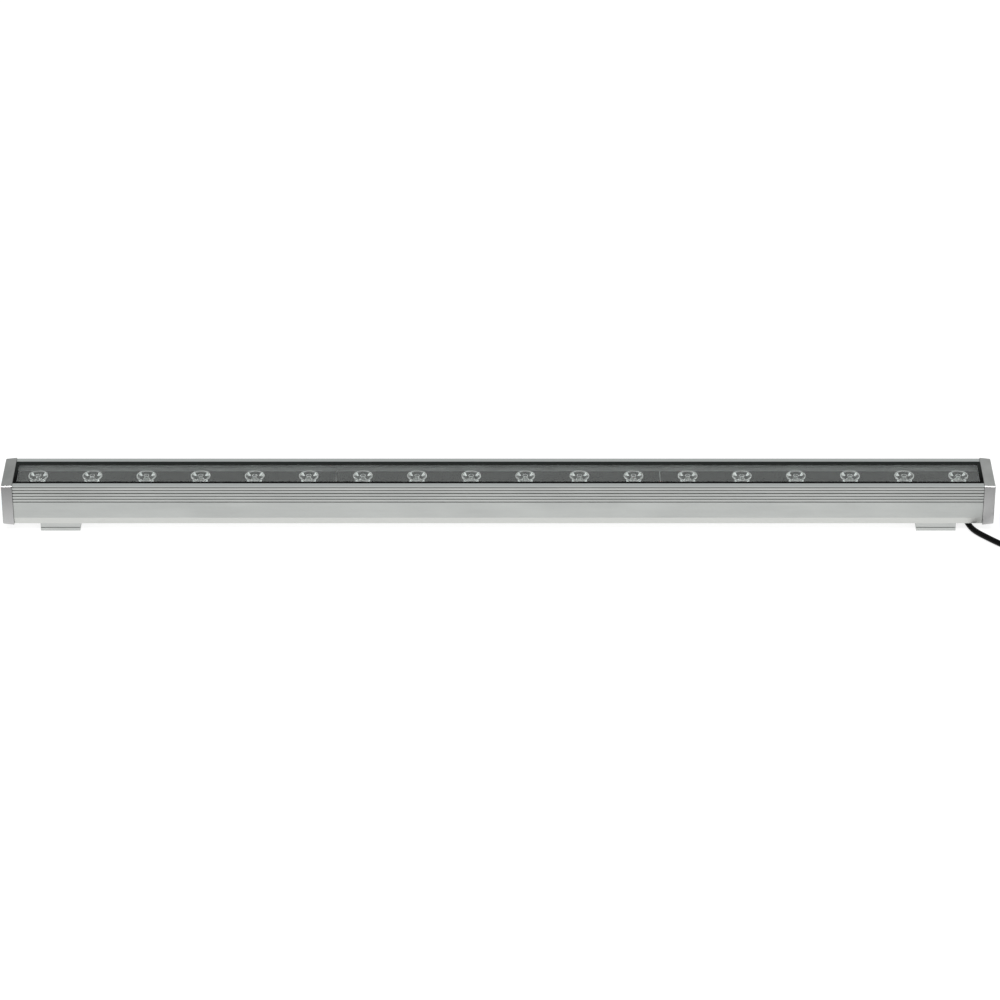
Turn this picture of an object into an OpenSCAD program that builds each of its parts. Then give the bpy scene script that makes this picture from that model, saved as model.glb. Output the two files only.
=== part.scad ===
// LED strip batten: an aluminium profile with a recessed glass window over a row
// of LEDs, two end caps, a driver in the lower chamber, two hinged feet that
// slide in a T-slot, and a mains lead. All sizes are in millimetres.
// X runs along the batten, -Y is its front, +Z is the way that it shines.

/* [Body] */
// Length over both end caps
overall_l = 1000; // [800:1:1300]
// Depth of the profile, front to back
body_d = 55.4; // [52:0.2:70]
// Height of the profile
body_h = 44; // [42:0.5:60]
// Thickness of the side walls
wall_t = 2.5; // [2:0.1:3]
// Thickness of the floor
floor_t = 2.5; // [2:0.1:2.5]
// Thickness of the web under the LED boards
web_t = 2.7; // [2:0.1:4]
// How far the foot of each side face leans in
foot_in = 1.2; // [0.4:0.1:2]
// Height over which the side face leans in
foot_h = 7.5; // [5:0.5:8]

/* [Grooves] */
// Number of grooves along each side face
groove_n = 6; // [2:1:6]
// Distance between grooves
groove_pitch = 3.37; // [3:0.01:4]
// First groove's distance below the lip
groove_top = 1.45; // [1.2:0.05:3]
// Half the width of a plain groove, which ends in a round floor
groove_r = 0.6; // [0.4:0.05:0.9]
// How far that floor's centre lies inside the face
groove_in = 0.5; // [0.1:0.05:0.7]
// Half the width of the one deep groove
deep_r = 0.85; // [0.7:0.05:1.1]
// How far the centre of its floor lies inside the face
deep_in = 0.6; // [0.1:0.05:0.7]
// Which groove is the deep one, counted from the lip
deep_at = 2; // [0:1:5]

/* [Window] */
// Width of the lip on each side of the glass
lip_w = 6; // [5:0.1:6.5]
// Drop from the lip to the outer edge of the seal
seal_drop = 0.2; // [0.1:0.1:1]
// Height over which the seal slopes down to the glass
seal_t = 0.8; // [0.5:0.1:1.2]
// Thickness of the seal under the glass
bed_t = 0.5; // [0.3:0.1:1]
// Width of the seal's face along the long sides
seal_side = 5.4; // [4:0.1:8]
// Width of the seal's face at the ends
seal_end = 3.3; // [2.5:0.1:6]
// Gap between the glass edge and the profile, filled by the seal
glass_gap = 0.8; // [0.6:0.1:1.5]
// Thickness of the glass
glass_t = 4; // [3:0.5:5]
// Width of the ledge under the glass
ledge_w = 2; // [2:0.1:4]
// Depth of the LED chamber, from the ledge to the board's seat
chamber_h = 8.2; // [7.7:0.1:9]

/* [T-slot] */
// Width of the slot's mouth
slot_w = 8.5; // [8:0.1:9]
// Thickness of the slot's lips
slot_lip = 2; // [1.6:0.1:2.5]
// Width inside the slot
tee_w = 15; // [14:0.5:16]
// Height inside the slot
tee_h = 4.5; // [4.5:0.1:5]
// Thickness of the slot's roof and sides
tee_wall = 2; // [1.5:0.1:2.5]

/* [End caps] */
// Thickness of an end cap
cap_t = 11.1; // [9:0.1:16]
// How far a cap stands out past the profile's sides
cap_side = 1; // [0.5:0.1:2]
// How far a cap stands above the profile
cap_top = 0.8; // [0.4:0.1:1.5]
// How far a cap reaches below the profile
cap_low = 1; // [0.4:0.1:1.5]
// Draft of the cap's four sides over its thickness
cap_draft = 0.8; // [0:0.1:1.2]
// Chamfer along the cap's long edges
cap_bevel = 0.7; // [0.4:0.1:2]
// Chamfer around the cap's outer face
cap_end_bevel = 0.5; // [0.3:0.1:1.5]
// Thickness of the gasket behind a cap
gasket_t = 0.3; // [0.2:0.1:1.5]
// How far the gasket's edge stays inside the profile's outline
gasket_in = 0.5; // [0.3:0.1:1]
// Radius of the screw ports in the profile
port_r = 1.8; // [1.6:0.1:2]
// Distance of the ports from the side face
port_in = 4.2; // [4:0.1:5]
// Distance of the upper ports below the lip
port_top = 8.5; // [8:0.1:9]
// Height of the lower ports above the profile's underside
port_low = 12; // [12:0.1:14]
// Radius of a cap screw's head
cap_head_r = 3.3; // [3:0.1:3.8]

/* [LEDs] */
// Number of LEDs, six to a board as drawn
led_count = 18; // [12:3:18]
// Distance from the profile's end to the first LED
led_end = 23.6; // [18:0.1:40]
// Thickness of the LED boards
board_t = 1.6; // [1:0.2:1.6]
// Gap between the boards and around them
board_gap = 0.8; // [0.5:0.1:1.5]
// Radius of a lens's rim
lens_r = 9.9; // [7:0.1:10]
// Height of the lens rim's top above the board
lens_h = 6.3; // [5.5:0.1:6.4]
// Thickness of the lens's rim
lens_rim = 1; // [0.6:0.1:1.4]
// Radius of the lens at its foot
lens_foot_r = 4.6; // [4:0.1:5]
// Radius of the hollow that takes the emitter
lens_hole_r = 2.6; // [2.4:0.1:3]
// Depth of that hollow
lens_hole_h = 3.3; // [2.8:0.1:3.6]
// How far a lens's rim stands out past its holder
holder_in = 0.2; // [0.2:0.1:1]
// Gap between the side of a lens and the ring at its holder's foot
ring_gap = 0.6; // [0.3:0.1:0.8]
// Height of that ring
holder_h = 1.5; // [1:0.1:2]
// Thickness of the holder's four gussets
gusset_t = 1.8; // [1.2:0.1:2.4]
// Gap between a lens and its holder
lens_play = 0.15; // [0.1:0.05:0.3]
// Width of an LED emitter
chip_w = 3.45; // [2.8:0.05:3.5]

/* [Feet] */
// Distance from the batten's end to a foot's centre
foot_from_end = 57.5; // [57.5:0.5:200]
// Width of a foot along the batten
foot_w = 40; // [36:1:60]
// Thickness of the upper leaf
leaf_top_t = 4.6; // [4:0.1:6]
// Thickness of the lower leaf
leaf_low_t = 3.5; // [3.4:0.1:5]
// Gap between the two leaves when folded
leaf_gap = 0.7; // [0.6:0.1:1.2]
// Play between a foot and the profile that it slides along
slide_play = 0.1; // [0.05:0.05:0.2]
// Height of the hinge's knuckles above the ground
knuckle_lift = 0.25; // [0.1:0.05:0.4]
// Length of the middle knuckle
knuckle_l = 16; // [12:1:20]
// Play around and between the knuckles
knuckle_play = 0.4; // [0.3:0.1:0.6]
// Radius of the hinge bolt
pin_r = 2; // [1.5:0.1:2.2]
// Play between the hinge bolt and its bore
pin_play = 0.05; // [0.02:0.01:0.08]
// Radius of the foot's fixing holes
fix_r = 2.6; // [2.2:0.1:3.5]
// Distance between the fixing holes
fix_span = 26; // [20:1:30]
// Radius of the clamp screws that go into the T-slot
clamp_r = 2.5; // [2:0.1:3]
// Distance between the clamp screws
clamp_span = 20; // [16:1:24]
// Radius of a clamp screw's head
clamp_head_r = 4.6; // [4:0.1:5]
// Length of a T-nut along the slot
nut_l = 10; // [8:1:14]
// Height of a T-nut
nut_h = 3.6; // [3:0.1:3.8]

/* [Cable entry] */
// Distance from the batten's end to the cable entry
entry_from_end = 28; // [22:0.5:28]
// Distance from the rear face to the cable entry's axis
entry_from_rear = 11; // [9.5:0.1:12]
// Radius of the entry hole
entry_r = 5.1; // [4.5:0.1:5.4]
// Radius of the gland's flange
gland_r = 6; // [5.6:0.1:6.4]
// Thickness of the gland's flange
gland_t = 2; // [1.5:0.1:2.4]
// Length of the strain relief along the cord
boot_l = 26; // [20:1:30]
// Height of the strain relief's axis above the ground
boot_z = 4.4; // [4.2:0.05:4.4]
// Radius of the strain relief at its thick end
boot_r = 4.1; // [3.8:0.05:4.1]
// Angle of the strain relief away from straight ahead
boot_turn = 4; // [0:1:15]

/* [Driver] */
// Length of the driver board
driver_l = 200; // [160:5:240]
// Distance from the driver board to the cable entry
driver_gap = 28; // [24:1:60]
// Width of the driver board
driver_w = 36; // [32:1:37]
// Thickness of the driver board
driver_t = 1.6; // [1:0.2:1.6]
// Thickness of the insulating sheet under the driver board
sheet_t = 1.2; // [0.5:0.1:1.5]
// Radius of the hole that brings the feed wires up through the web
feed_r = 3; // [2.5:0.1:3.5]

/* [Mains lead] */
// Diameter of the cord
cord_d = 6; // [5:0.5:6.5]
// Distance between neighbouring turns of the coil
turn_pitch = 6.1; // [6.1:0.1:7]
// Centre radius of the coil's innermost turn
coil_in_r = 26.5; // [25:0.5:30]
// Turns in the coil's lower layer
coil_turns = 3; // [2:1:4]
// Thickness of the tie around the coil
tie_t = 0.8; // [0.5:0.1:1]
// Angle of the coil that the tie covers
tie_angle = 14; // [8:1:20]

/* [Hidden] */
$fn = 48;
slop = 0.05;

// Heights, from the ground up
under_z = leaf_low_t + leaf_gap + leaf_top_t;
top_z = under_z + body_h;
floor_z = under_z + floor_t;
seal_z = top_z - seal_drop;
glass_z = seal_z - seal_t - glass_t;
ledge_z = glass_z - bed_t;
seat_z = ledge_z - chamber_h;
board_z = seat_z + board_t;
web_z = seat_z - web_t;
roof_z = under_z + slot_lip + tee_h + tee_wall;
port_top_z = top_z - port_top;
port_low_z = under_z + port_low;

// Half widths, from the middle out
half_d = body_d / 2;
recess_y = half_d - lip_w;
chamber_y = recess_y - ledge_w;
inner_y = half_d - wall_t;
port_y = half_d - port_in;
opening_y = recess_y - seal_side;
board_y = chamber_y - 0.5;

// Places along the batten
half_l = overall_l / 2;
body_half = half_l - cap_t - gasket_t;
seal_half = body_half - 0.2;
glass_half = seal_half - glass_gap;
opening_half = body_half - seal_end;
board_half = body_half - 2;
led_pitch = 2 * (body_half - led_end) / (led_count - 1);
board_n = 3;
per_board = led_count / board_n;

// Port bosses and the pockets beside the LED chamber
boss_r = port_r + 1.6;
pocket_wall = 2.2;
pocket_top = port_top_z - port_r - 1.7;

// Cable entry and the strain relief's end
entry_x = half_l - entry_from_end;
entry_y = half_d - entry_from_rear;
cord_r = cord_d / 2;
boot_tip_r = cord_r + 0.4;
nut_t = 3.5;

// Driver
driver_end = entry_x - driver_gap;
driver_z = roof_z + sheet_t;
driver_top = driver_z + driver_t;
feed_x = led_x(led_count - 1) + 0.3 * led_pitch;
feed_y = -12;

// Feet
foot_x = half_l - foot_from_end;
foot_front = -(half_d - foot_in - 0.2);
upper_z = leaf_low_t + leaf_gap;
upper_t = leaf_top_t - slide_play;
hinge_z = leaf_low_t + leaf_gap / 2;
knuckle_r = hinge_z - knuckle_lift;
hinge_y = half_d + cap_side - knuckle_r - 0.15;
notch_y = hinge_y - knuckle_r - knuckle_play;
pin_head_h = 2.5;

// Cord: the route's points are measured from the cable entry
coil_out_r = coil_in_r + coil_turns * turn_pitch;
coil_lift = tie_t;
coil_h = cord_d + turn_pitch;
coil_centre = [86, -38];
LEAD = [
    [1.8, -25.9, 4.4], [2.7, -31.5, 4.2], [4.5, -38, 3.7], [8, -46, 3.2],
    [12.5, -52.4, 3.1], [18, -58.6, 3.1], [25, -66, 3.1], [32.2, -73, 3.1],
    [39.5, -78.3, 3.1], [47.5, -81.3, 3.1], [56.5, -82.6, 3.1], [66.5, -82.8, 3.2],
    [76.5, -82.8, 3.5], [86, -82.8, 3.8]
];
TAIL = [
    [86, -81.3, 9.9], [96, -81.3, 9.9], [106, -81.4, 9.2], [116, -81.7, 7.6],
    [126, -82.1, 5.6], [136, -82.6, 3.9], [145, -83, 3.1], [153, -83, 3.1],
    [160, -83, 4.3]
];
plug_at = [160, -83, 4.3];
plug_tilt = 20.5;
plug_l = 46;
plug_r = 18.6;
pin_d = 4.8;
plug_pin_l = 19;

function pad2(i) = str(i < 10 ? "0" : "", i);
function lens_name(i) = str("lens_", pad2(i));
BOARD_NAMES = ["left", "middle", "right"];
SIDES = ["left", "right"];

// Extrudes a Y-Z outline along X, centred on x = 0
module along_x(length) {
    rotate([90, 0, 90]) linear_extrude(length, center = true) children();
}

// Points a cylinder drawn along Z towards +X
module to_x() {
    rotate([0, 90, 0]) children();
}

// Mirrors a right-hand piece for the left end
module at_end(side) {
    if (side == "left") mirror([1, 0, 0]) children();
    else children();
}

// Moves what is measured from the cable entry to its place
module from_entry() {
    translate([entry_x, entry_y, 0]) children();
}

// ---- Tubes swept along points ----
function unit(v) = v / norm(v);
function heading(p, i) =
    let (last = len(p) - 1)
    unit(p[min(i + 1, last)] - p[max(i - 1, 0)]);
function ring(p, i, r, sides, up) =
    let (t = heading(p, i), n = unit(cross(up, t)), b = cross(t, n))
    [for (k = [0 : sides - 1])
        let (a = 360 * (k + 0.5) / sides)
        p[i] + r * (cos(a) * n + sin(a) * b)];

module tube(p, r, sides = 10, up = [0, 0, 1]) {
    rings = len(p);
    points = [for (i = [0 : rings - 1]) each ring(p, i, r, sides, up)];
    walls = [for (i = [0 : rings - 2], k = [0 : sides - 1])
        let (a = i * sides + k, b = i * sides + (k + 1) % sides)
        [a, a + sides, b + sides, b]];
    first = [for (k = [0 : sides - 1]) k];
    last = [for (k = [sides - 1 : -1 : 0]) (rings - 1) * sides + k];
    polyhedron(points, concat(walls, [first, last]), convexity = 10);
}

// ---- Profile ----
function outline(inset) = [
    [-(half_d - inset), top_z - inset],
    [-(half_d - inset), under_z + foot_h],
    [-(half_d - foot_in - inset), under_z + inset],
    [half_d - foot_in - inset, under_z + inset],
    [half_d - inset, under_z + foot_h],
    [half_d - inset, top_z - inset]
];

module block(y0, y1, z0, z1) {
    translate([y0, z0]) square([y1 - y0, z1 - z0]);
}

module at_ports() {
    for (y = [-port_y, port_y], z = [port_top_z, port_low_z]) translate([y, z]) children();
}

module lower_chamber() {
    difference() {
        union() {
            block(-inner_y, inner_y, floor_z, web_z);
            for (s = [0, 1]) mirror([s, 0])
                block(chamber_y + pocket_wall, inner_y, web_z - 1, pocket_top);
        }
        block(-tee_w / 2 - tee_wall, tee_w / 2 + tee_wall, floor_z - 1, roof_z);
        at_ports() circle(boss_r);
    }
}

module groove(r, in) {
    translate([half_d - in, 0]) {
        circle(r);
        translate([0, -r]) square([in + 1, 2 * r]);
    }
}

module grooves() {
    for (s = [0, 1], k = [0 : groove_n - 1]) mirror([s, 0])
        translate([0, top_z - groove_top - k * groove_pitch])
            if (k == deep_at) groove(deep_r, deep_in);
            else groove(groove_r, groove_in);
}

module profile() {
    difference() {
        polygon(outline(0));
        block(-recess_y, recess_y, ledge_z, top_z + 1);
        block(-chamber_y, chamber_y, seat_z, ledge_z + 1);
        lower_chamber();
        block(-slot_w / 2, slot_w / 2, under_z - 1, under_z + slot_lip + 1);
        block(-tee_w / 2, tee_w / 2, under_z + slot_lip, under_z + slot_lip + tee_h);
        at_ports() circle(port_r);
        grooves();
    }
}

module housing() {
    color("silver") difference() {
        along_x(2 * body_half) profile();
        translate([entry_x, entry_y, under_z - 1]) cylinder(floor_t + 2, r = entry_r);
        translate([feed_x, feed_y, web_z - 1]) cylinder(web_t + 2, r = feed_r);
        at_board_screws(web_z - 1) cylinder(web_t + 2, r = screw_r);
    }
}

// ---- End caps ----
cap_z = (top_z + cap_top + under_z - cap_low) / 2;
cap_d = body_d + 2 * cap_side;
cap_h = body_h + cap_top + cap_low;
cap_hole_r = port_r + 0.4;
cap_sink = cap_head_r - cap_hole_r;
cap_pocket = cap_t / 2;
slice_t = 0.1;

module at_cap_screws() {
    for (y = [-port_y, port_y], z = [port_top_z, port_low_z])
        translate([half_l, y, z]) rotate([0, -90, 0]) children();
}

// The cap's outline with its four corners cut off
function cap_outline(inset) =
    let (y = cap_d / 2 - inset, z = cap_h / 2 - inset, b = cap_bevel)
    [[b - y, z], [-y, z - b], [-y, b - z], [b - y, -z],
     [y - b, -z], [y, b - z], [y, z - b], [y - b, z]];

// A thin slice of the cap, at a depth below its outer face
module cap_slice(depth, inset) {
    translate([half_l - depth - slice_t / 2, 0, cap_z]) along_x(slice_t)
        polygon(cap_outline(inset));
}

module end_cap(side) {
    color("darkgray") at_end(side) difference() {
        hull() {
            cap_slice(cap_t - slice_t, 0);
            cap_slice(cap_end_bevel, cap_draft);
            cap_slice(0, cap_draft + cap_end_bevel);
        }
        at_cap_screws() translate([0, 0, -1]) cylinder(cap_t + 2, r = cap_hole_r);
        at_cap_screws() translate([0, 0, -slop])
            cylinder(cap_sink + slop, r1 = cap_head_r + slop, r2 = cap_hole_r);
        translate([half_l - cap_t - 1, -port_y + boss_r + 1, floor_z + 2])
            cube([cap_pocket + 1, 2 * (port_y - boss_r - 1), web_z - floor_z - 4]);
    }
}

module cap_screws(side) {
    grip = 14;
    color("gainsboro") at_end(side) at_cap_screws() difference() {
        union() {
            translate([0, 0, 0.2]) cylinder(cap_sink, r1 = cap_head_r - 0.3, r2 = port_r - slop);
            translate([0, 0, 0.3]) cylinder(cap_t + grip, r = port_r - slop);
        }
        translate([0, 0, -1]) cylinder(2.2, r = 1.6, $fn = 6);
    }
}

module end_gasket(side) {
    color("black") at_end(side) translate([body_half + gasket_t / 2, 0, 0]) along_x(gasket_t)
        difference() {
            polygon(outline(gasket_in));
            at_ports() circle(cap_hole_r);
            block(-port_y + boss_r + 1, port_y - boss_r - 1, floor_z + 2, web_z - 2);
        }
}

// ---- Window ----
module slab(half_x, half_y, z0, z1) {
    translate([-half_x, -half_y, z0]) cube([2 * half_x, 2 * half_y, z1 - z0]);
}

glass_y = recess_y - glass_gap;
seal_rim = 0.3;

module glass_cover() {
    color("lightcyan", 0.4) slab(glass_half, glass_y, glass_z, glass_z + glass_t);
}

module glass_seal() {
    color("black") difference() {
        slab(seal_half, recess_y, ledge_z, seal_z);
        slab(glass_half, glass_y, glass_z, glass_z + glass_t);
        hull() {
            slab(opening_half, opening_y, glass_z + glass_t, glass_z + glass_t + 0.1);
            slab(seal_half - seal_rim, recess_y - seal_rim, seal_z, seal_z + 1);
        }
        slab(glass_half - ledge_w + glass_gap, chamber_y, ledge_z - 1, glass_z + 1);
    }
}

// ---- LED boards, lenses and their holders ----
function led_x(i) = -(body_half - led_end) + (i - 1) * led_pitch;
function break_x(b) = led_x(b * per_board) + led_pitch / 2;
function board_start(b) = b == 0 ? -board_half : break_x(b) + board_gap / 2;
function board_stop(b) = b == board_n - 1 ? board_half : break_x(b + 1) - board_gap / 2;
function screw_x(b) = [for (k = [1, 3, 5]) led_x(b * per_board + min(k, per_board - 1)) + led_pitch / 2];
screw_r = 1.25;
screw_y = -board_y + 4.5;
screw_head_r = 2.8;

module at_board_screws(z) {
    for (b = [0 : board_n - 1], x = screw_x(b)) translate([x, screw_y, z]) children();
}

module led_board(b) {
    color("dimgray") difference() {
        translate([board_start(b), -board_y, seat_z])
            cube([board_stop(b) - board_start(b), 2 * board_y, board_t]);
        at_board_screws(seat_z - 1) cylinder(board_t + 2, r = screw_r + 0.4);
        translate([feed_x, feed_y, seat_z - 1]) cylinder(board_t + 2, r = feed_r);
    }
}

module board_screws() {
    color("black") at_board_screws(board_z) {
        cylinder(1.8, r = screw_head_r);
        translate([0, 0, -board_t - web_t]) cylinder(board_t + web_t + 0.5, r = screw_r - slop);
    }
}

module led_emitters() {
    color("khaki") for (i = [1 : led_count]) translate([led_x(i), 0, board_z]) {
        translate([-chip_w / 2, -chip_w / 2, 0]) cube([chip_w, chip_w, 0.9]);
        translate([0, 0, 0.8]) intersection() {
            sphere(1.4);
            translate([-2, -2, 0]) cube(4);
        }
    }
}

lens_lift = 0.9;
flange_h = lens_h - lens_rim;
// Width of the rim's underside, of which rest_w lies on the holder
rest_w = 0.15;
flange_w = holder_in + lens_play + rest_w;
// The side of the lens, a parabola from its foot to its rim
function lens_side(t) = [
    lens_foot_r + (lens_r - flange_w - lens_foot_r) * sqrt(t),
    lens_lift + (flange_h - lens_lift) * t
];

LENS_SIDE = [for (k = [0 : 6]) lens_side(pow(k / 6, 1.5))];

module lens(i) {
    color("white", 0.5) translate([led_x(i), 0, board_z]) rotate_extrude() polygon(concat(
        [[lens_hole_r, lens_lift]],
        LENS_SIDE,
        [[lens_r, flange_h], [lens_r, lens_h], [0, lens_h], [0, lens_lift + lens_hole_h - 0.5],
         [lens_hole_r - 0.4, lens_lift + lens_hole_h]]
    ));
}

ring_t = 0.8;
ring_r = lens_side((holder_h - lens_lift) / (flange_h - lens_lift))[0] + ring_gap;

// A ring with four gussets that follow the side of the lens
module holder() {
    difference() {
        cylinder(holder_h, r = ring_r + ring_t);
        translate([0, 0, -1]) cylinder(holder_h + 2, r = ring_r);
    }
    for (a = [45 : 90 : 315]) rotate([90, 0, a])
        linear_extrude(gusset_t, center = true) polygon(concat(
            [[lens_foot_r + lens_play, 0]],
            [for (p = LENS_SIDE) p + [lens_play, 0]],
            [[lens_r - holder_in, flange_h], [lens_r - holder_in, 0]]
        ));
}

module lens_holders(b) {
    color("lightgray") for (k = [1 : per_board])
        translate([led_x(b * per_board + k), 0, board_z]) holder();
}

// ---- Driver ----
module driver_insulator() {
    color("ivory") translate([driver_end - driver_l, -tee_w / 2, roof_z])
        cube([driver_l, tee_w, sheet_t]);
}

module driver_board() {
    color("darkgreen") translate([driver_end - driver_l, -driver_w / 2, driver_z])
        cube([driver_l, driver_w, driver_t]);
}

// Stands a part on the driver board, measured from the board's entry end
module on_driver(from_end, y) {
    translate([driver_end - from_end, y, driver_top]) children();
}

module driver_transformer() {
    color("gold") on_driver(100, 0) {
        translate([-12, -10, 0]) cube([24, 20, 2.5]);
        translate([-13, -11, 4]) cube([26, 22, 7]);
        translate([-8, -8, 2]) cube([16, 16, 10.5]);
    }
}

module driver_parts() {
    color("slategray") {
        on_driver(12, 0) translate([-5, -8, 0]) cube([10, 16, 9]);
        on_driver(34, -7) cylinder(10, r = 6);
        on_driver(34, 8) translate([-8, -4, 0]) cube([16, 8, 10]);
        on_driver(62, -5) translate([-9, 0, 6]) to_x() cylinder(18, r = 5.5);
        on_driver(62, 11) translate([-6, -3, 0]) cube([12, 5, 8]);
        on_driver(130, -6) cylinder(12, r = 5);
        on_driver(144, -6) cylinder(12, r = 5);
        on_driver(137, 9) translate([-10, -2, 0]) cube([20, 4, 11]);
        on_driver(172, 0) translate([-5, -6, 0]) cube([10, 12, 8]);
    }
}

module board_wires() {
    lift = board_z + 0.6;
    color("red") {
        for (y = [feed_y - 1.2, feed_y + 1.2]) {
            tube([[feed_x - 7, y, driver_top + 0.7], [feed_x - 4, y, driver_top + 1.5],
                  [feed_x - 1, y, web_z - 5], [feed_x, y, web_z], [feed_x, y, board_z],
                  [feed_x + 1.5, y, board_z + 1.5], [feed_x + 5, y, lift]],
                 0.6, 8, [0, 1, 0]);
        }
        for (b = [1 : board_n - 1], y = [-8, -5]) let (x = break_x(b))
            tube([[x - 6, y, lift], [x - 3, y, lift + 0.8], [x, y, lift + 1.1],
                  [x + 3, y, lift + 0.8], [x + 6, y, lift]], 0.5, 8);
    }
}

// ---- Cable entry ----
module mains_wires() {
    top = floor_z + 4;
    color("sienna") for (k = [-1, 0, 1]) tube(
        [[entry_x + 2.6 * k, entry_y, top], [entry_x + 2.6 * k, entry_y, top + 3.5],
         [entry_x - 0.6 + 2.8 * k, entry_y - 1 - 0.4 * k, top + 6],
         [entry_x - 2.5 + 3.2 * k, entry_y - 3 - 1.2 * k, top + 8],
         [entry_x - 5.5 + 3.6 * k, entry_y - 5.5 - 2 * k, top + 9],
         [entry_x - 10 + 3.6 * k, entry_y - 9 - 3 * k, top + 9.3],
         [entry_x - 17 + 3 * k, 4 - 4.5 * k, top + 9.5],
         [driver_end - 2, -5 * k, driver_top + 6], [driver_end - 7, -5 * k, driver_top + 6]],
        0.9, 8, [0, 1, 0.2]);
}

module cable_gland() {
    color("black") translate([entry_x, entry_y, under_z]) {
        translate([0, 0, -gland_t]) cylinder(gland_t, r = gland_r);
        translate([0, 0, -gland_t + 0.1]) cylinder(gland_t + floor_t + 3.9, r = entry_r - 0.1);
    }
}

module gland_nut() {
    color("dimgray") translate([entry_x, entry_y, floor_z]) difference() {
        rotate(30) cylinder(nut_t, r = entry_r + 1.7, $fn = 6);
        translate([0, 0, -1]) cylinder(nut_t + 2, r = entry_r - slop);
    }
}

// A stepped taper with flexing grooves, turned about the cord's axis
module boot_taper() {
    steps = 5;
    root = 8;
    step = (boot_l - root) / steps;
    rotate_extrude() polygon(concat(
        [[0, 0], [boot_r, 0], [boot_r, root]],
        [for (k = [0 : steps - 1]) let (r = boot_r + (boot_tip_r - boot_r) * (k + 1) / steps,
                                        z = root + k * step)
            each [[r - 0.35, z + 0.1], [r - 0.35, z + step * 0.35],
                  [r, z + step * 0.4], [r, z + step]]],
        [[0, boot_l]]
    ));
}

module cable_boot() {
    color("black") from_entry() difference() {
        union() {
            translate([0, 0, boot_z]) rotate([90, 0, boot_turn]) boot_taper();
            translate([0, 0, 0.2]) cylinder(under_z - gland_t - 0.2, r = boot_r + 0.3);
        }
        translate([0, 0, under_z - gland_t]) cylinder(gland_t + 1, r = gland_r + slop);
    }
}

// ---- Mains lead ----
module cord_lead() {
    color("black") from_entry() tube(LEAD, cord_r);
}

module cord_tail() {
    color("black") from_entry() tube(TAIL, cord_r);
}

module coil_outline(grow) {
    translate([coil_in_r - cord_r - grow, coil_lift - grow])
        square([coil_out_r - coil_in_r + cord_d + 2 * grow, coil_h + 2 * grow]);
}

module at_coil() {
    from_entry() translate(coil_centre) children();
}

module cord_coil() {
    color("black") at_coil() rotate_extrude() coil_outline(0);
}

module coil_tie() {
    color("gray") at_coil() rotate(60) rotate_extrude(angle = tie_angle) difference() {
        coil_outline(tie_t);
        coil_outline(0);
    }
}

module at_plug() {
    from_entry() translate(plug_at) rotate([0, -plug_tilt, 0]) children();
}

module plug_body() {
    color("black") at_plug() difference() {
        to_x() rotate_extrude() polygon([
            [0, 0], [cord_r + 1.3, 0], [cord_r + 3, 14], [10, 18], [12.5, 25], [16, 32],
            [plug_r, 38], [plug_r, plug_l - 2], [plug_r - 1, plug_l], [0, plug_l]
        ]);
        for (s = [-1, 1]) translate([plug_l - 14, s * (plug_r + 0.6) - 2, -3.5]) cube([15, 4, 7]);
        translate([plug_l - 12, 0, -10]) to_x() cylinder(14, r = 2.5);
    }
}

module plug_pins() {
    color("silver") at_plug() for (y = [-9.5, 9.5])
        translate([plug_l, y, 0]) to_x() cylinder(plug_pin_l, r = pin_d / 2);
}

// ---- Feet ----
module at_foot(side) {
    translate([side == "left" ? -foot_x : foot_x, 0, 0]) children();
}

module hinge_rod(x0, x1, r) {
    translate([x0, hinge_y, hinge_z]) to_x() cylinder(x1 - x0, r = r);
}

module at_clamps(z) {
    for (x = [-clamp_span / 2, clamp_span / 2]) translate([x, 0, z]) children();
}

module bracket_leaf(side) {
    gap = knuckle_l / 2 + knuckle_play;
    color("silver") at_foot(side) difference() {
        union() {
            translate([-foot_w / 2, foot_front, upper_z])
                cube([foot_w, hinge_y - foot_front, upper_t]);
            for (s = [0, 1]) mirror([s, 0, 0]) hinge_rod(gap, foot_w / 2, knuckle_r);
        }
        translate([-gap, notch_y, 0]) cube([2 * gap, hinge_y, under_z]);
        hinge_rod(-foot_w, foot_w, pin_r + slop);
        at_clamps(upper_z - 1) cylinder(upper_t + 2, r = clamp_r + 0.2);
        at_clamps(upper_z - slop)
            cylinder(clamp_head_r - clamp_r, r1 = clamp_head_r + slop, r2 = clamp_r + 0.2);
    }
}

module bracket_base(side) {
    color("silver") at_foot(side) difference() {
        union() {
            translate([-foot_w / 2, foot_front, 0]) cube([foot_w, notch_y - foot_front, leaf_low_t]);
            translate([-knuckle_l / 2, 0, 0]) cube([knuckle_l, hinge_y, leaf_low_t]);
            hinge_rod(-knuckle_l / 2, knuckle_l / 2, knuckle_r);
        }
        hinge_rod(-foot_w, foot_w, pin_r + pin_play);
        for (x = [-fix_span / 2, fix_span / 2])
            translate([x, 0, -1]) cylinder(leaf_low_t + 2, r = fix_r);
    }
}

module bracket_pin(side) {
    head_r = pin_r + 1.5;
    color("gainsboro") at_foot(side) {
        difference() {
            union() {
                hinge_rod(-foot_w / 2 - 2.6, foot_w / 2 + slop, pin_r);
                hinge_rod(foot_w / 2, foot_w / 2 + pin_head_h, head_r);
            }
            translate([foot_w / 2 + 1, hinge_y, hinge_z]) to_x() cylinder(2, r = 1.4, $fn = 6);
        }
        difference() {
            translate([-foot_w / 2 - 2.4, hinge_y, hinge_z]) to_x() rotate(30)
                cylinder(2.4, r = head_r / cos(30), $fn = 6);
            hinge_rod(-foot_w, 0, pin_r + 0.02);
        }
    }
}

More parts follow.
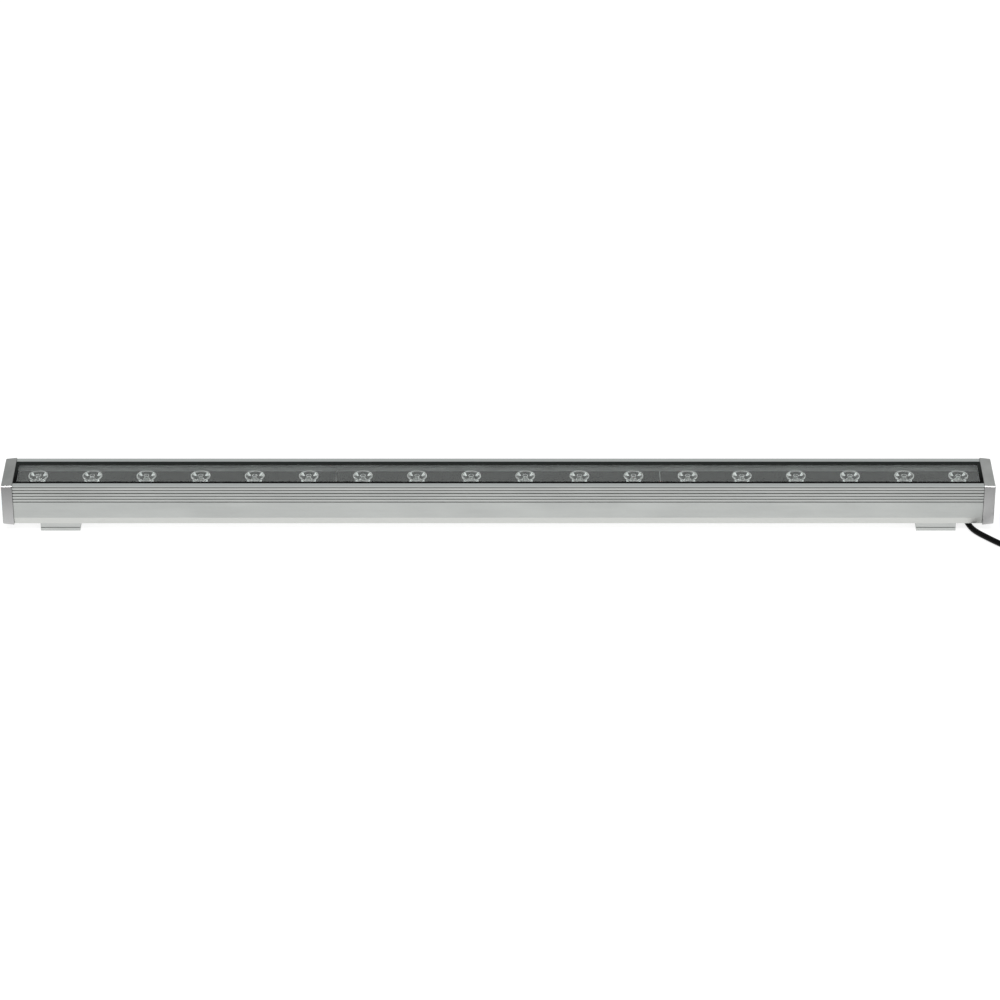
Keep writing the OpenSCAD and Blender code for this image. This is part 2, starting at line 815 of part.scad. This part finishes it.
module bracket_screws(side) {
    color("gainsboro") at_foot(side) at_clamps(upper_z) difference() {
        union() {
            translate([0, 0, 0.1]) cylinder(clamp_head_r - clamp_r - 0.15,
                                            r1 = clamp_head_r - 0.15, r2 = clamp_r);
            translate([0, 0, 0.2]) cylinder(roof_z - tee_wall - upper_z - 0.6, r = clamp_r);
        }
        translate([0, 0, -1]) cylinder(2.6, r = 1.7, $fn = 6);
    }
}

module bracket_nuts(side) {
    color("gainsboro") at_foot(side) at_clamps(under_z + slot_lip + slide_play) difference() {
        translate([-nut_l / 2, -tee_w / 2 + 0.3, 0]) cube([nut_l, tee_w - 0.6, nut_h]);
        translate([0, 0, -1]) cylinder(nut_h + 2, r = clamp_r + slop);
    }
}

housing();
for (s = SIDES) {
    end_cap(s);
    end_gasket(s);
    cap_screws(s);
    bracket_leaf(s);
    bracket_base(s);
    bracket_pin(s);
    bracket_screws(s);
    bracket_nuts(s);
}
glass_cover();
glass_seal();
for (b = [0 : board_n - 1]) {
    led_board(b);
    lens_holders(b);
}
led_emitters();
board_screws();
for (i = [1 : led_count]) {
    lens(i);
}
driver_insulator();
driver_board();
driver_transformer();
driver_parts();
board_wires();
mains_wires();
cable_gland();
gland_nut();
cable_boot();
cord_lead();
cord_coil();
cord_tail();
coil_tie();
plug_body();
plug_pins();
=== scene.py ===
import math

import bmesh
import bpy
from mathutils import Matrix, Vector


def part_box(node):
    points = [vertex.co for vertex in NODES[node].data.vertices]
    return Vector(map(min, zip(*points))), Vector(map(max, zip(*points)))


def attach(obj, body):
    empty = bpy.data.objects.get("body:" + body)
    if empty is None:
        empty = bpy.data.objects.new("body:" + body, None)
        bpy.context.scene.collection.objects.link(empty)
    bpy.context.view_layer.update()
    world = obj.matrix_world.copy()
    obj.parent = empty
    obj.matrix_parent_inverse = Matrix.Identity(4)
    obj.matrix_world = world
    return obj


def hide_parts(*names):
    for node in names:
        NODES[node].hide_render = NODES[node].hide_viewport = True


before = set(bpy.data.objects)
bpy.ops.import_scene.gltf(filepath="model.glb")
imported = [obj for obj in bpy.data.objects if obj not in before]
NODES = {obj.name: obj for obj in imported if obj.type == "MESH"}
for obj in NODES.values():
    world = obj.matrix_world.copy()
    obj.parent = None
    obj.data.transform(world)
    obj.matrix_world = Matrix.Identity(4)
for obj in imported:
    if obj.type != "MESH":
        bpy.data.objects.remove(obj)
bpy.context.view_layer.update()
MM = 0.001
SIDES = ("left", "right")
LENSES = [n for n in sorted(NODES) if n.startswith("lens_") and n[5:].isdigit()]
BOARDS = ["led_board_left", "led_board_middle", "led_board_right"]
HOLDERS = ["lens_holders_left", "lens_holders_middle", "lens_holders_right"]
CAD_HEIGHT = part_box("end_cap_left")[1].z


def middle(node):
    """Centre of a CAD node's box."""
    low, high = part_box(node)
    return (low + high) / 2


# ---- Camera ----
def make_camera():
    """Looks down on the batten's front-top edge from far in front."""
    elevation = math.radians(31)
    distance = 4.14
    right, ahead, down = 0.0018, 0.0071, 0.0118  # from the middle of the front top edge
    aim = Vector((right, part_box("end_cap_left")[0].y - ahead, CAD_HEIGHT - down))
    data = bpy.data.cameras.new("camera")
    data.sensor_width = 36
    data.lens = 148.4
    data.clip_end = 60
    camera = bpy.data.objects.new("camera", data)
    back = Vector((0, -math.cos(elevation), math.sin(elevation)))
    camera.location = aim + distance * back
    camera.rotation_euler = (math.pi / 2 - elevation, 0, 0)
    bpy.context.scene.collection.objects.link(camera)
    bpy.context.scene.camera = camera


make_camera()


# ---- Cord: the route's points are measured from the cable entry, in millimetres ----
LEAD = [
    (1.8, -25.9, 4.4), (2.7, -31.5, 4.2), (4.5, -38, 3.7), (8, -46, 3.2),
    (12.5, -52.4, 3.1), (18, -58.6, 3.1), (25, -66, 3.1), (32.2, -73, 3.1),
    (39.5, -78.3, 3.1), (47.5, -81.3, 3.1), (56.5, -82.6, 3.1), (66.5, -82.8, 3.2),
    (76.5, -82.8, 3.5), (86, -82.8, 3.8),
]
TAIL = [
    (86, -81.3, 9.9), (96, -81.3, 9.9), (106, -81.4, 9.2), (116, -81.7, 7.6),
    (126, -82.1, 5.6), (136, -82.6, 3.9), (145, -83, 3.1), (153, -83, 3.1),
    (160, -83, 4.3),
]
COIL_CENTRE = (86, -38)
COIL_IN_R = 26.5
TURN_PITCH = 6.1
LAYER_Z = (3.8, 9.9)
LOWER_TURNS = 3
UPPER_TURNS = 2.75
CORD_D = 6
PER_TURN = 24
RISE_STEPS = 6
START_ANGLE = -90
RISE_ANGLE = 90  # how far round the coil the cord climbs to its upper layer


def entry():
    """The cable entry's axis, where it meets the ground."""
    centre = middle("cable_gland")
    return Vector((centre.x, centre.y, 0))


def coil_points():
    """The coil's turns: in along the lower layer, up on the inside, and out along the upper."""
    points = []
    lower, upper = LAYER_Z

    def add(angle, radius, z):
        a = math.radians(angle)
        x = COIL_CENTRE[0] + radius * math.cos(a)
        y = COIL_CENTRE[1] + radius * math.sin(a)
        points.append((x, y, z))

    for k in range(1, LOWER_TURNS * PER_TURN + 1):
        t = k / PER_TURN
        add(START_ANGLE + 360 * t, COIL_IN_R + TURN_PITCH * (LOWER_TURNS - t), lower)
    for k in range(1, RISE_STEPS + 1):
        t = k / RISE_STEPS
        ease = t * t * (3 - 2 * t)
        add(START_ANGLE + RISE_ANGLE * t, COIL_IN_R, lower + (upper - lower) * ease)
    for k in range(1, int(UPPER_TURNS * PER_TURN)):
        t = k / PER_TURN
        add(START_ANGLE + RISE_ANGLE + 360 * t, COIL_IN_R + TURN_PITCH * t, upper)
    return points


def make_cord():
    """One curve for the whole lead, in place of the CAD's three cord solids."""
    curve = bpy.data.curves.new("mains_cord", "CURVE")
    curve.dimensions = "3D"
    curve.bevel_depth = 1.0  # each point's radius sets the thickness
    curve.bevel_resolution = 5
    curve.resolution_u = 4
    curve.use_fill_caps = True
    route = [entry() + Vector(p) * MM for p in LEAD + coil_points() + TAIL]
    spline = curve.splines.new("BEZIER")
    spline.bezier_points.add(len(route) - 1)
    for point, place in zip(spline.bezier_points, route):
        point.co = place
        point.radius = CORD_D / 2 * MM
        point.handle_left_type = point.handle_right_type = "AUTO"
    cord = bpy.data.objects.new("mains_cord", curve)
    bpy.context.scene.collection.objects.link(cord)
    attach(cord, "root")
    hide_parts("cord_lead", "cord_coil", "cord_tail")
    return cord


cord = make_cord()


# ---- Node helpers for materials ----
class Shade:
    """A material with its Principled shader, and short ways to add nodes to it."""

    def __init__(self, name, color, roughness, metallic=0.0, **sockets):
        self.material = bpy.data.materials.new(name)
        self.material.use_nodes = True
        self.tree = self.material.node_tree
        self.shader = self.tree.nodes["Principled BSDF"]
        self.set("Base Color", (*color, 1))
        self.set("Roughness", roughness)
        self.set("Metallic", metallic)
        for key, value in sockets.items():
            self.set(key.replace("_", " "), value)

    def set(self, socket, value):
        self.shader.inputs[socket].default_value = value

    def node(self, kind, **values):
        made = self.tree.nodes.new(kind)
        for key, value in values.items():
            setattr(made, key, value)
        return made

    def link(self, out, into):
        self.tree.links.new(out, into)

    def coords(self, scale=(1, 1, 1)):
        """Object coordinates in metres, stretched by scale."""
        source = self.node("ShaderNodeTexCoord")
        mapping = self.node("ShaderNodeMapping")
        mapping.inputs["Scale"].default_value = scale
        self.link(source.outputs["Object"], mapping.inputs["Vector"])
        return mapping.outputs["Vector"]

    def noise(self, vector, scale, detail=3, rough=0.55):
        made = self.node("ShaderNodeTexNoise")
        made.inputs["Scale"].default_value = scale
        made.inputs["Detail"].default_value = detail
        made.inputs["Roughness"].default_value = rough
        self.link(vector, made.inputs["Vector"])
        return made.outputs["Fac"]

    def remap(self, value, low, high, start=0.3, stop=0.7):
        """Maps start..stop to low..high, and clamps."""
        made = self.node("ShaderNodeMapRange")
        keys = ("From Min", "From Max", "To Min", "To Max")
        for key, number in zip(keys, (start, stop, low, high)):
            made.inputs[key].default_value = number
        self.link(value, made.inputs["Value"])
        return made.outputs["Result"]

    def ramp(self, value, stops):
        made = self.node("ShaderNodeValToRGB")
        ramp = made.color_ramp
        while len(ramp.elements) < len(stops):
            ramp.elements.new(0.5)
        for element, (place, color) in zip(ramp.elements, stops):
            element.position = place
            element.color = (*color, 1)
        self.link(value, made.inputs["Fac"])
        return made.outputs["Color"]

    def math(self, operation, first, second=None):
        made = self.node("ShaderNodeMath", operation=operation)
        for socket, value in zip(made.inputs, (first, second)):
            if isinstance(value, (int, float)):
                socket.default_value = value
            elif value is not None:
                self.link(value, socket)
        return made.outputs["Value"]

    def parts(self, vector):
        """The X, Y and Z of a vector."""
        split = self.node("ShaderNodeSeparateXYZ")
        self.link(vector, split.inputs["Vector"])
        return split.outputs["X"], split.outputs["Y"], split.outputs["Z"]

    def within(self, value, low, high, edge=0.0002):
        """1 between low and high, 0 outside, over a soft edge."""
        rise = self.remap(value, 0, 1, low - edge, low)
        fall = self.remap(value, 1, 0, high, high + edge)
        return self.math("MULTIPLY", rise, fall)

    def recolor(self, mask, color):
        """Mixes another base colour, or another colour socket, in where mask is 1."""
        below = self.shader.inputs["Base Color"].links[0].from_socket
        mix = self.node("ShaderNodeMix", data_type="RGBA")
        factor, first, second, result = mix.inputs[0], mix.inputs[6], mix.inputs[7], mix.outputs[2]
        self.link(mask, factor)
        self.link(below, first)
        if isinstance(color, tuple):
            second.default_value = (*color, 1)
        else:
            self.link(color, second)
        self.link(result, self.shader.inputs["Base Color"])

    def roughen(self, mask, rough):
        """Mixes another roughness in where mask is 1."""
        below = self.shader.inputs["Roughness"].links[0].from_socket
        mix = self.node("ShaderNodeMix", data_type="FLOAT")
        factor, first, second, result = mix.inputs[0], mix.inputs[2], mix.inputs[3], mix.outputs[0]
        self.link(mask, factor)
        self.link(below, first)
        second.default_value = rough
        self.link(result, self.shader.inputs["Roughness"])

    def color_from(self, value, dark, light, start=0.3, stop=0.7):
        color = self.ramp(value, [(start, dark), (stop, light)])
        self.link(color, self.shader.inputs["Base Color"])

    def rough_from(self, value, low, high):
        self.link(self.remap(value, low, high), self.shader.inputs["Roughness"])

    def bump(self, height, strength, distance):
        made = self.node("ShaderNodeBump")
        made.inputs["Strength"].default_value = strength
        made.inputs["Distance"].default_value = distance
        self.link(height, made.inputs["Height"])
        below = self.shader.inputs["Normal"]
        if below.is_linked:
            self.link(below.links[0].from_socket, made.inputs["Normal"])
        self.link(made.outputs["Normal"], below)


def grey(value, tint=(1, 1, 1)):
    return tuple(value * t for t in tint)


# ---- Materials ----
TINT = (0.98, 1.01, 0.985)  # the faint green of the anodised metal


def drawn_aluminium(name, tone, rough):
    """Anodised extrusion: die lines along X over faint blotches. Returns its Shade."""
    m = Shade(name, grey(tone), rough, 1.0)
    lines = m.noise(m.coords((1.2, 260, 260)), 10, 2)
    blotch = m.noise(m.coords((3, 12, 12)), 4, 3)
    m.color_from(blotch, grey(tone * 0.95, TINT), grey(tone * 1.05, TINT), 0.35, 0.65)
    m.rough_from(lines, rough - 0.05, rough + 0.07)
    m.bump(lines, 0.35, 0.00004)
    fine = m.noise(m.coords(), 2400, 2)
    m.bump(fine, 0.15, 0.00003)
    return m


def profile_aluminium():
    """The profile: painted light makes its lip tops and feet lighter, painted shade darkens its
    grooves, and its LED chamber wall is painted brighter and made rougher.
    """
    m = drawn_aluminium("drawn_aluminium", 0.495, 0.46)
    low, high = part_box("housing")
    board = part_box("led_board_middle")
    _, y, z = m.parts(m.coords())
    away = m.math("ABSOLUTE", y)
    # Painted light: the lip tops are lighter and greener, as if lit from above.
    m.recolor(m.within(z, high.z - 0.1 * MM, high.z + MM), (0.51, 0.54, 0.53))
    # Painted light: the lowest 7 mm of the profile is lighter, as if lit by the floor.
    m.recolor(m.within(z, low.z - MM, low.z + 7 * MM, 0.4 * MM), (0.6, 0.61, 0.59))
    # Painted shade: the groove faces in the upper part of the walls are darkened.
    in_wall = m.within(away, board[1].y + 1.4 * MM, high.y - 0.3 * MM, 0.1 * MM)
    upper_half = m.within(z, middle("housing").z, high.z - 0.5 * MM)
    groove_shade = m.math("MULTIPLY", in_wall, upper_half)
    m.recolor(groove_shade, (0.4, 0.41, 0.4))
    # Painted light: the wall inside the LED chamber is the same anodised metal, painted brighter;
    # it is also made rougher.
    chamber_lit_and_rough = m.math("MULTIPLY", m.within(away, -MM, board[1].y + 0.9 * MM),
                     m.within(z, board[0].z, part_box("glass_cover")[0].z))
    m.recolor(chamber_lit_and_rough, (0.92, 0.95, 0.94))
    m.roughen(chamber_lit_and_rough, 0.6)
    return m.material


def blasted_aluminium(name, tone, rough):
    """Blasted cap: its front and back darken upwards as painted shade, and the chamfers above them
    are bright, partly as bare metal and partly as a painted highlight.
    """
    m = Shade(name, grey(tone), rough, 1.0)
    grain = m.noise(m.coords(), 2600, 3, 0.6)
    cloud = m.noise(m.coords(), 60, 3)
    m.color_from(cloud, grey(tone * 0.93, TINT), grey(tone * 1.06, TINT), 0.35, 0.65)
    m.rough_from(grain, rough - 0.06, rough + 0.08)
    _, y, z = m.parts(m.node("ShaderNodeTexCoord").outputs["Normal"])
    low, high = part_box("end_cap_left")
    _, _, height = m.parts(m.coords())
    rise = m.remap(height, 0, 1, low.z, high.z)
    # Painted shade: the front and back faces darken from bottom to top.
    painted_shade_fade = m.ramp(rise, [(0, grey(1.42 * tone)), (0.95, grey(0.75 * tone))])
    m.recolor(m.remap(m.math("ABSOLUTE", y), 0, 1, 0.85, 0.95), painted_shade_fade)
    # Bare-metal chamfers, brighter and smoother; this also paints the highlight along the cap's
    # edges.
    slant = m.math("ABSOLUTE", m.math("MULTIPLY", y, z))
    bare_edge_and_highlight = m.remap(slant, 0, 1, 0.3, 0.42)
    m.recolor(bare_edge_and_highlight, grey(0.93))
    m.roughen(bare_edge_and_highlight, 0.3)
    m.bump(grain, 0.5, 0.00005)
    return m.material


def silicone():
    """Black sealant: deep black along the front as painted shade, and lighter along the rear as
    painted light.
    """
    m = Shade("seal_silicone", (0.01, 0.01, 0.01), 0.7, 0.0, Specular_IOR_Level=0.03)
    cloud = m.noise(m.coords(), 120, 3)
    # Painted shade: a near-black base, which stays along the front.
    m.color_from(cloud, (0.002, 0.002, 0.002), (0.004, 0.004, 0.004))
    _, y, _ = m.parts(m.coords())
    # Painted light: the rear strip is lighter.
    m.recolor(m.remap(y, 0, 1, -0.012, 0.012), (0.021, 0.024, 0.023))
    m.rough_from(cloud, 0.6, 0.8)
    m.bump(cloud, 0.3, 0.0001)
    return m.material


def moulded(name, color, rough, grain=1800, depth=0.00004, **sockets):
    """Moulded plastic or rubber with a fine surface grain."""
    m = Shade(name, color, rough, 0.0, **sockets)
    fine = m.noise(m.coords(), grain, 3)
    cloud = m.noise(m.coords(), 90, 3)
    m.color_from(cloud, grey(0.85, color), grey(1.15, color), 0.35, 0.65)
    m.rough_from(fine, rough - 0.06, rough + 0.1)
    m.bump(fine, 0.4, depth)
    return m.material


def holder_plastic():
    """White gussets with a painted glow that stands for the light they gather, on a black foot
    ring.
    """
    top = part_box("led_board_middle")[1].z
    # Painted light: the gussets glow, though they are no lamp.
    m = Shade("holder_plastic", (0.9, 0.9, 0.9), 0.2, 0.0, Emission_Strength=0.4)
    fine = m.noise(m.coords(), 1800, 3)
    m.color_from(fine, (0.85, 0.88, 0.86), (0.94, 0.96, 0.95))
    m.rough_from(fine, 0.15, 0.3)
    _, _, z = m.parts(m.coords())
    foot = m.remap(z, 1, 0, top + 1.5 * MM, top + 1.7 * MM)
    m.recolor(foot, (0.02, 0.021, 0.021))
    # Painted light: the glow is white on the gussets and off on the foot ring.
    painted_glow = m.ramp(foot, [(0, (0.95, 1, 0.98)), (1, (0, 0, 0))])
    m.link(painted_glow, m.shader.inputs["Emission Color"])
    return m.material


def steel(name, tone, rough):
    m = Shade(name, grey(tone), rough, 1.0)
    turned = m.noise(m.coords((1, 1, 6)), 900, 3)
    m.color_from(turned, grey(tone * 0.9), grey(tone * 1.05))
    m.rough_from(turned, rough - 0.05, rough + 0.12)
    m.bump(turned, 0.3, 0.00003)
    return m.material


def clear(name, color, rough, ior, tint=(1, 1, 1, 1)):
    """Glass or clear plastic. Returns its Shade."""
    m = Shade(name, color, rough, 0.0, Transmission_Weight=1.0, IOR=ior, Specular_Tint=tint)
    smear = m.noise(m.coords((1, 3, 3)), 30, 2)
    m.rough_from(smear, rough, rough + 0.012)
    return m


def lens_acrylic():
    """Clear lens with a frosted rim and a painted highlight ring around its central hollow."""
    m = clear("lens_acrylic", (1, 1, 1), 0.01, 1.15)
    x, y, _ = m.parts(m.coords())
    first = middle(LENSES[0]).x
    pitch = middle(LENSES[1]).x - first
    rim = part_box(LENSES[0])[1].x - first
    steps = m.math("DIVIDE", m.math("SUBTRACT", x, first), pitch)
    step = m.math("FRACT", m.math("ADD", steps, 0.5))
    along = m.math("MULTIPLY", m.math("SUBTRACT", step, 0.5), pitch)
    square = m.math("ADD", m.math("MULTIPLY", along, along), m.math("MULTIPLY", y, y))
    radius = m.math("SQRT", square)
    frosted_rim = m.within(radius, rim - 0.7 * MM, rim + MM)
    # Painted highlight: the ring round the central hollow is made white and partly opaque, for the
    # glint at the bore's top.
    hollow_highlight = m.within(radius, 2.1 * MM, 2.7 * MM)
    frost_and_highlight = m.math("ADD", frosted_rim, hollow_highlight)
    m.link(m.remap(frost_and_highlight, 1, 0.2, 0, 1), m.shader.inputs["Transmission Weight"])
    return m.material


def laminate(name, mask, copper):
    """Circuit board: solder mask over copper tracks, which show as a lighter tone."""
    m = Shade(name, mask, 0.5, 0.0, Specular_IOR_Level=0.2)
    tracks = m.node("ShaderNodeTexBrick")
    tracks.inputs["Scale"].default_value = 60
    tracks.inputs["Mortar Size"].default_value = 0.012
    tracks.inputs["Color1"].default_value = (*mask, 1)
    tracks.inputs["Color2"].default_value = (*grey(1.5, mask), 1)
    tracks.inputs["Mortar"].default_value = (*copper, 1)
    m.link(m.coords(), tracks.inputs["Vector"])
    m.link(tracks.outputs["Color"], m.shader.inputs["Base Color"])
    weave = m.noise(m.coords(), 1500, 2)
    m.rough_from(weave, 0.42, 0.55)
    m.bump(tracks.outputs["Fac"], 0.2, 0.00003)
    return m.material


def put(material, *nodes):
    """Makes a material the only one of each node."""
    for name in nodes:
        mesh = NODES[name].data
        mesh.materials.clear()
        mesh.materials.append(material)


def dress_nodes():
    put(profile_aluminium(), "housing")
    put(drawn_aluminium("foot_aluminium", 0.5, 0.36).material,
        *[f"bracket_{s}_{part}" for s in SIDES for part in ("leaf", "base")])
    # The right cap gets a lighter tone than the left: painted light on one copy of the same metal.
    for side, tone in zip(SIDES, (0.345, 0.42)):
        put(blasted_aluminium(f"cap_aluminium_{side}", tone, 0.4), f"end_cap_{side}")
    put(moulded("gasket_rubber", (0.03, 0.03, 0.03), 0.6), "end_gasket_left", "end_gasket_right")
    put(silicone(), "glass_seal")
    put(steel("stainless_steel", 0.6, 0.28), "cap_screws_left", "cap_screws_right",
        *[f"bracket_{s}_{part}" for s in SIDES for part in ("pin", "screws", "nuts")])
    glass = clear("float_glass", (0.95, 0.985, 0.97), 0.0, 1.44, (0.92, 1, 0.965, 1))
    put(glass.material, "glass_cover")
    put(lens_acrylic(), *LENSES)
    put(laminate("led_laminate", (0.008, 0.008, 0.008), (0.02, 0.02, 0.02)), *BOARDS)
    put(laminate("driver_laminate", (0.01, 0.08, 0.03), (0.03, 0.16, 0.06)), "driver_board")
    put(holder_plastic(), *HOLDERS)
    put(moulded("emitter_dome", (0.07, 0.065, 0.045), 0.15), "led_emitters")
    put(steel("black_zinc", 0.05, 0.35), "board_screws")
    put(moulded("insulating_sheet", (0.7, 0.68, 0.6), 0.5), "driver_insulator")
    put(moulded("winding_tape", (0.6, 0.42, 0.06), 0.35), "driver_transformer")
    put(moulded("component_case", (0.05, 0.06, 0.09), 0.35), "driver_parts")
    put(moulded("feed_insulation", (0.5, 0.03, 0.02), 0.35), "board_wires")
    put(moulded("core_insulation", (0.2, 0.09, 0.04), 0.35), "mains_wires")
    put(moulded("gland_nylon", (0.02, 0.02, 0.02), 0.4), "cable_gland", "gland_nut")
    put(moulded("boot_rubber", (0.015, 0.015, 0.015), 0.45), "cable_boot")
    put(moulded("plug_vinyl", (0.015, 0.015, 0.015), 0.42, 1400, 0.00006), "plug_body")
    put(steel("nickel_plate", 0.7, 0.15), "plug_pins")
    jacket = moulded("cord_vinyl", (0.0015, 0.0015, 0.0015), 0.34, 1200, 0.00003,
                     Specular_IOR_Level=0.1)
    cord.data.materials.append(jacket)


dress_nodes()


# ---- Pieces that the CAD leaves out: sizes in millimetres ----
PRINT_IN_R = 2.5
PRINT_OUT_R = 3.7
PRINT_T = 0.12


def add_piece(name, build, material, ride="root"):
    """Makes an object from a function that fills a bmesh, in metres."""
    mesh = bpy.data.meshes.new(name)
    shape = bmesh.new()
    build(shape)
    bmesh.ops.recalc_face_normals(shape, faces=shape.faces)
    shape.to_mesh(mesh)
    shape.free()
    mesh.materials.append(material)
    piece = bpy.data.objects.new(name, mesh)
    bpy.context.scene.collection.objects.link(piece)
    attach(piece, ride)
    return piece


def loft(shape, rings):
    """Joins rings of points with quads, and the last ring to the first."""
    rows = [[shape.verts.new(p) for p in ring] for ring in rings]
    for a, b in zip(rows, rows[1:] + rows[:1]):
        for k in range(len(a)):
            n = (k + 1) % len(a)
            shape.faces.new((a[k], a[n], b[n], b[k]))


def annulus(shape, centre, inner, outer, height, steps=48):
    """A flat ring that stands on centre."""
    corners = ((inner, 0), (outer, 0), (outer, height), (inner, height))
    rings = []
    for k in range(steps):
        a = 2 * math.pi * k / steps
        side = Vector((math.cos(a), math.sin(a), 0))
        rings.append([centre + r * side + Vector((0, 0, z)) for r, z in corners])
    loft(shape, rings)


def make_board_print():
    """The white ring that is printed around each LED."""
    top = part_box("led_board_middle")[1].z
    ink = moulded("board_ink", (0.75, 0.76, 0.74), 0.4)
    for board in BOARDS:
        low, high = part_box(board)

        def build(shape):
            for lens in LENSES:
                centre = middle(lens)
                if low.x < centre.x < high.x:
                    foot = Vector((centre.x, centre.y, top))
                    annulus(shape, foot, PRINT_IN_R * MM, PRINT_OUT_R * MM, PRINT_T * MM)

        add_piece(board.replace("led_board", "board_print"), build, ink)


make_board_print()


# ---- Stage: places and sizes are in metres, the key light in watts, the rest are strengths ----
FRONT_LEVEL = 0.38
BACK_LEVEL = 0.78
FLOOR_REACH = 30
FLOOR_Z = -0.0003
FLOOR_GLOW = 0.82
KEY_PLACE = (0, -1.6, 2.65)
KEY_SIZE = (3, 0.6)
KEY_POWER = 40


def make_floor():
    """Grey paper that glows until it looks white, set just below the ground and the feet."""
    mesh = bpy.data.meshes.new("floor")
    corners = ((-1, -1), (1, -1), (1, 1), (-1, 1))
    verts = [(FLOOR_REACH * x, FLOOR_REACH * y, FLOOR_Z) for x, y in corners]
    mesh.from_pydata(verts, [], [(0, 1, 2, 3)])
    floor = bpy.data.objects.new("floor", mesh)
    bpy.context.scene.collection.objects.link(floor)
    m = Shade("floor_paper", (0.35, 0.35, 0.35), 0.9, 0.0, Specular_IOR_Level=0.0)
    m.set("Emission Color", (1, 1, 1, 1))
    m.set("Emission Strength", FLOOR_GLOW)
    mesh.materials.append(m.material)


def area_light(name, place, target, size, power):
    """A rectangular light that faces target."""
    data = bpy.data.lights.new(name, "AREA")
    data.shape = "RECTANGLE"
    data.size, data.size_y = size
    data.energy = power
    lamp = bpy.data.objects.new(name, data)
    lamp.location = place
    lamp.rotation_euler = (Vector(target) - Vector(place)).to_track_quat("-Z", "Y").to_euler()
    bpy.context.scene.collection.objects.link(lamp)


def make_world():
    """A studio with a lit sweep behind the batten and a dimmer side in front."""
    world = bpy.data.worlds.new("studio")
    world.use_nodes = True
    bpy.context.scene.world = world
    tree = world.node_tree
    source = tree.nodes.new("ShaderNodeTexCoord")
    split = tree.nodes.new("ShaderNodeSeparateXYZ")
    level = tree.nodes.new("ShaderNodeMapRange")
    levels = {"From Min": -1, "From Max": 1, "To Min": FRONT_LEVEL, "To Max": BACK_LEVEL}
    for key, number in levels.items():
        level.inputs[key].default_value = number
    tree.links.new(source.outputs["Generated"], split.inputs["Vector"])
    tree.links.new(split.outputs["Y"], level.inputs["Value"])
    tree.links.new(level.outputs["Result"], tree.nodes["Background"].inputs["Strength"])
    tree.nodes["Background"].inputs["Color"].default_value = (1, 1, 1, 1)


make_floor()
make_world()
area_light("key", KEY_PLACE, (0, 0, 0), KEY_SIZE, KEY_POWER)
bpy.context.scene.view_settings.view_transform = "Standard"
